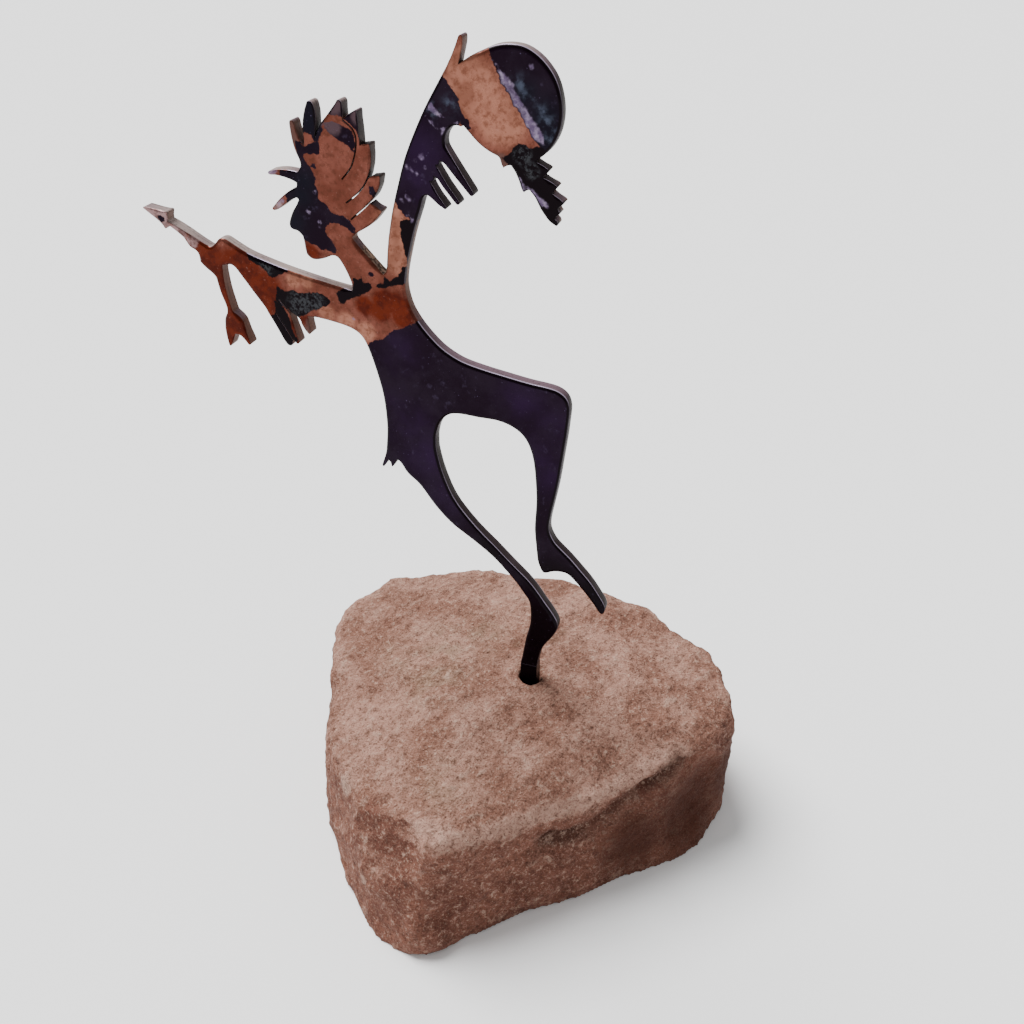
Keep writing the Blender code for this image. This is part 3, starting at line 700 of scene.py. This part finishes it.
def darkFront(tree, ragged):
    dark = blend(tree, step(tree, grain(tree, 130, 4), 0.40, 0.66), steelTone("dark"), steelTone("darkSoft"))
    bloom = step(tree, grain(tree, 90, 3, shift=(2, 2, 7)), 0.35, 0.6, 0.25, 0.75)
    dark = blend(tree, times(tree, field(tree, "violet"), bloom), dark, steelTone("violet"))
    # painted shade: the lower legs and the post are darkened towards black
    dark = blend(tree, step(tree, field(tree, "paintedLowShade"), 0.15, 0.8, 0, 0.9), dark, steelTone("black"))
    dark = blend(tree, times(tree, field(tree, "navy"), 0.85), dark, steelTone("navy"))
    mauved = plus(tree, field(tree, "mauve"), times(tree, ragged, 0.3))
    dark = blend(tree, step(tree, mauved, 0.3, 0.8, 0, 0.85), dark, steelTone("mauve"))
    puffs = step(tree, grain(tree, 500, 5), 0.42, 0.68)
    dark = blend(tree, times(tree, field(tree, "cloud"), puffs), dark, steelTone("cloud"))
    haze = step(tree, grain(tree, 420, 6, shift=(9, 2, 4)), 0.60, 0.76, 0, 0.14)
    dark = blend(tree, haze, dark, steelTone("speck"))
    specks = step(tree, grain(tree, 1900, 1), 0.72, 0.82, 0, 0.4)
    return blend(tree, specks, dark, steelTone("speck"))


def blackFront(tree):
    cinders = step(tree, grain(tree, 1500, 4, shift=(4, 0, 3)), 0.44, 0.62)
    ash = blend(tree, cinders, steelTone("black"), steelTone("ash"))
    return blend(tree, step(tree, field(tree, "grainy"), 0.25, 0.8, 0, 0.9), steelTone("black"), ash)


def cutWall(tree, isDeep, skyward, lines):
    wall = blend(tree, isDeep, steelTone("wallBrown"), steelTone("wallDark"))
    wall = blend(tree, step(tree, field(tree, "brown"), 0.1, 0.6, 0, 0.9), wall, steelTone("wallRust"))
    # painted light: cut walls that face up are lightened to mauve
    wall = blend(tree, step(tree, skyward, 0.25, 0.95, 0, 0.9), wall, steelTone("wallSkyLit"))
    # partly pale tarnish, partly painted light: the pale shows only on walls that face up
    paled = times(tree, field(tree, "paleWall"), step(tree, skyward, 0.05, 0.8, 0.15, 1))
    wall = blend(tree, paled, wall, steelTone("wallPale"))
    # painted shade: inner cut walls are darkened
    wall = blend(tree, step(tree, field(tree, "shadedWall"), 0.1, 0.6, 0, 0.85), wall, steelTone("wallShade"))
    crust = step(tree, grain(tree, 1500, 3), 0.44, 0.58)
    rust = blend(tree, crust, steelTone("stone"), steelTone("stoneDeep"))
    wall = blend(tree, step(tree, field(tree, "stoneWall"), 0.3, 0.8), wall, rust)
    wall = blend(tree, step(tree, lines, 0.48, 0.66, 0, 0.45), wall, steelTone("wallDark"))
    specks = step(tree, grain(tree, 1300, 3, shift=(8, 3, 3)), 0.55, 0.72, 0, 0.5)
    return blend(tree, specks, wall, steelTone("wallDark"))


def patinatedSteel():
    look, tree, shader = newLook("patinatedSteel")

    # ragged borders between the tones
    ragged = plus(tree, around(tree, grain(tree, 1000, 3), 1.2), around(tree, grain(tree, 330, 2), 1.2))
    isDark = step(tree, plus(tree, field(tree, "darkDepth"), ragged), -0.12, 0.12)
    isBlack = step(tree, plus(tree, field(tree, "blackDepth"), ragged), -0.15, 0.15)
    isLilac = step(tree, plus(tree, field(tree, "lilacDepth"), ragged), -0.1, 0.5)
    isDeep = sums(tree, "MAXIMUM", isDark, isBlack)
    front = blend(tree, isDark, copperFront(tree, ragged), darkFront(tree, ragged))
    front = blend(tree, isBlack, front, blackFront(tree))
    lilac = blend(tree, step(tree, grain(tree, 700, 4), 0.36, 0.62), steelTone("lilac"), steelTone("lilacDeep"))
    thinned = step(tree, grain(tree, 480, 4, shift=(6, 6, 1)), 0.35, 0.62, 1, 0.6)
    front = blend(tree, times(tree, isLilac, thinned), front, lilac)

    # the rounded edge and the cut wall
    edge, skyward = field(tree, "edge"), field(tree, "skyward")
    isWall = step(tree, edge, 0.5, 0.9)
    lines = grain(tree, 60, 3, 0.7, stretch=(1.4, 0.024, 1.4))
    # painted reflection: a dark band along the rounded front edge, strongest on the dark patina
    darkReflection = times(tree, step(tree, edge, 0.02, 0.10), plus(tree, times(tree, isDeep, 0.75), 0.22))
    rounded = blend(tree, darkReflection, front, steelTone("black"))
    wall = cutWall(tree, isDeep, skyward, lines)
    surface = blend(tree, step(tree, edge, 0.55, 0.85), rounded, wall)
    # painted highlight: a pale lilac line where the rounding meets the cut wall, on the dark patina, stronger
    # where it faces up
    rim = times(tree, step(tree, edge, 0.45, 0.62), step(tree, edge, 0.66, 0.86, 1, 0))
    rimHighlightShare = times(tree, times(tree, rim, isDeep), step(tree, skyward, 0.1, 0.7, 0.1, 0.9))
    surface = blend(tree, rimHighlightShare, surface, steelTone("rimHighlight"))

    roughness = plus(tree, step(tree, grain(tree, 240, 4), 0.3, 0.7, 0.24, 0.36), times(tree, isWall, 0.14))
    metallic = sums(tree, "SUBTRACT", step(tree, isDeep, 0, 1, 0.45, 0.35), times(tree, isWall, 0.30))
    sawn = times(tree, times(tree, lines, isWall), 1.4)
    heights = plus(tree, times(tree, grain(tree, 420, 3), 0.25), sawn)
    finish(tree, shader, surface, roughness, heights, patinaLook)
    tree.links.new(metallic, shader.inputs["Metallic"])
    shader.inputs["Coat Weight"].default_value = patinaLook["coat"]
    shader.inputs["Coat Roughness"].default_value = patinaLook["coatRoughness"]
    return look


# red sandstone, paler where it faces the sky and at the left end: partly a dusting, partly painted light
sandLook = {
    # the first two tones are for the top: partly a dusting, partly painted light
    "litDust": (0.385, 0.208, 0.154), "litDustDeep": (0.225, 0.104, 0.072), "olive": (0.270, 0.170, 0.115),
    "core": (0.215, 0.085, 0.056), "coreDeep": (0.145, 0.052, 0.034), "scar": (0.310, 0.160, 0.120),
    # the first tone on the next line is a painted highlight for the front lip
    "lip": (0.500, 0.295, 0.225), "pale": (0.520, 0.350, 0.270), "pit": (0.060, 0.022, 0.013),
    "brownPatch": (0.110, 0.052, 0.030), "shade": (0.045, 0.010, 0.004),
    "specular": 0.2, "bump": 0.9, "bumpHeight": 0.0012,
}

# marks in millimetres across, away and up, with their reach: pale scuffs, brown patches,
# grey-green patches, a painted highlight along the front ridge, painted shade over the broken right end and
# darker patches on the left front facet
rockMarks = {
    "scuff": [(-15, 24.5, 46, 2), (-11.5, 25, 46, 2.2), (-8.5, 25.5, 46, 2), (-59, -3, 43, 1.8),
              (-51, -2.5, 43, 1.7), (-23, 43, 45, 2.2), (-20, 42, 45, 1.6), (1, -8, 45, 1.4)],
    # brown patches, mostly round the foot of the post
    "brownPatch": [(2, 17.5, 46, 4), (3.5, 22, 46, 3.5), (0, 3, 46, 4.5), (-31, 17, 45, 1.4), (-8, 12, 46, 3)],
    "olive": [(-28, 6, 45, 13), (-26, -9, 44, 11), (-20, 14, 45, 11), (-40, 0, 44, 9), (-12, -40, 42, 9)],
    # painted highlight along the front ridge, and two pale spots lower on the left
    "ridgeHighlight": [(-5, -54, 41, 6), (6, -49, 41, 6), (16, -40, 41, 6), (26, -31, 41, 6), (36, -22, 42, 5),
             (-20, -47, 41, 6), (-40, -42, 30, 5), (-30, -56, 14, 5)],
    # painted shade over the broken right end
    "shade": [(52, -8, 16, 26), (38, -22, 14, 17), (60, 6, 18, 20)],
    # darker patches on the left front facet
    "darkFacet": [(-29, -51, 33, 7), (-25, -54, 30, 9), (-21, -57, 27, 9), (-18, -59.5, 22, 8)],
}


def paintRock(mesh):
    spots, normals = meshArrays(mesh)
    spots = spots * 1000
    left = numpy.clip(-normals[:, 0] - rockDustAndLight["leftFrom"], 0, 1)
    low = numpy.clip((rockDustAndLight["lowBelow"] - spots[:, 2]) / rockDustAndLight["lowBelow"], 0, 1)
    writeField(mesh, "dustAndLight", normals[:, 2] + rockDustAndLight["leftShare"] * left - rockDustAndLight["lowShare"] * low)
    for name, marks in rockMarks.items():
        weight = numpy.zeros(len(spots))
        for x, y, z, reach in marks:
            away = ((spots - (x, y, z)) ** 2).sum(axis=1) / reach ** 2
            weight = numpy.maximum(weight, numpy.exp(-falloff * away))
        writeField(mesh, name, weight)
    for name, path, reach in (("hollow", "path", "pathReach"), ("lip", "lip", "lipReach")):
        gap = gapToPath(spots, rockHollow[path])[0]
        writeField(mesh, name, numpy.exp(-falloff * (gap / rockHollow[reach]) ** 2))


def sandTone(name):
    return (*sandLook[name], 1)


def stoneBody(tree, fine):
    top = blend(tree, step(tree, grain(tree, 70, 5), 0.36, 0.62), sandTone("litDust"), sandTone("litDustDeep"))
    mossy = step(tree, grain(tree, 150, 4), 0.40, 0.62, 0.1, 0.8)
    top = blend(tree, times(tree, field(tree, "olive"), mossy), top, sandTone("olive"))
    veined = step(tree, grain(tree, 110, 5, shift=(2, 8, 1)), 0.38, 0.64)
    side = blend(tree, veined, sandTone("core"), sandTone("coreDeep"))
    scars = step(tree, grain(tree, 300, 6, 0.7, shift=(1, 1, 9)), 0.54, 0.70, 0, 0.55)
    side = blend(tree, scars, side, sandTone("scar"))
    blown = plus(tree, around(tree, grain(tree, 120, 5, shift=(7, 0, 0)), 0.7), around(tree, fine, 0.7))
    # partly a dusting, partly painted light: the top and the left end are made paler, the low parts darker
    dustAndLight = plus(tree, field(tree, "dustAndLight"), blown)
    # painted highlight: the front lip counts as part of the paler top
    dustAndLight = plus(tree, dustAndLight, times(tree, field(tree, "lip"), 0.6))
    return blend(tree, step(tree, dustAndLight, 0.25, 0.85), side, top)


def redSandstone():
    look, tree, shader = newLook("redSandstone")
    fine = grain(tree, 620, 5, 0.7)
    grit = grain(tree, 1900, 2, 0.7, shift=(5, 1, 2))
    streaks = grain(tree, 330, 5, 0.65, stretch=(2.6, 1, 1), turn=60)
    lipHighlightNoise = grain(tree, 260, 5, 0.7, shift=(3, 3, 3))

    def marked(name, texture, spread, low, high, share):
        return step(tree, plus(tree, field(tree, name), around(tree, texture, spread)), low, high, 0, share)

    # laid over the stone one after the other
    layers = [
        (marked("darkFacet", fine, 1.2, 0.2, 0.9, 0.85), "coreDeep"),
        (marked("brownPatch", fine, 0.7, 0.3, 0.9, 0.7), "brownPatch"),
        # painted highlight along the front ridge
        (marked("ridgeHighlight", streaks, 1.2, 0.35, 0.9, 0.6), "pale"),
        # painted shade in the hollow under the lip
        (marked("hollow", fine, 0.7, 0.3, 0.9, 0.95), "shade"),
        # painted highlight: the front lip is made pale
        (marked("lip", lipHighlightNoise, 1.6, 0.35, 0.95, 0.7), "lip"),
        (step(tree, streaks, 0.55, 0.72, 0, 0.4), "pale"),
        (step(tree, streaks, 0.30, 0.44, 0.45, 0), "pit"),
        (step(tree, fine, 0.53, 0.68, 0, 0.6), "pale"),
        (step(tree, fine, 0.32, 0.50, 0.65, 0), "pit"),
        (step(tree, grit, 0.55, 0.72, 0, 0.45), "pale"),
        (step(tree, grit, 0.30, 0.47, 0.7, 0), "pit"),
        # painted shade over the right end of the rock
        (marked("shade", fine, 0.9, 0.2, 0.95, 0.82), "shade"),
        (marked("scuff", fine, 2.2, 0.55, 0.95, 0.75), "pale"),
    ]
    surface = stoneBody(tree, fine)
    for share, name in layers:
        surface = blend(tree, share, surface, sandTone(name))

    roughness = step(tree, fine, 0.3, 0.7, 0.80, 0.95)
    coarse = plus(tree, fine, times(tree, grit, 0.5))
    heights = plus(tree, coarse, plus(tree, times(tree, grain(tree, 230, 4), 1.6), streaks))
    finish(tree, shader, surface, roughness, heights, sandLook)
    return look


plate.data.materials.clear()
plate.data.materials.append(patinatedSteel())
rock.data.materials.clear()
paintRock(rock.data)
rock.data.materials.append(redSandstone())
print("materials ready")

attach(plate, "root")
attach(rock, "root")
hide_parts("dancer_figure")
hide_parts("rock_base")
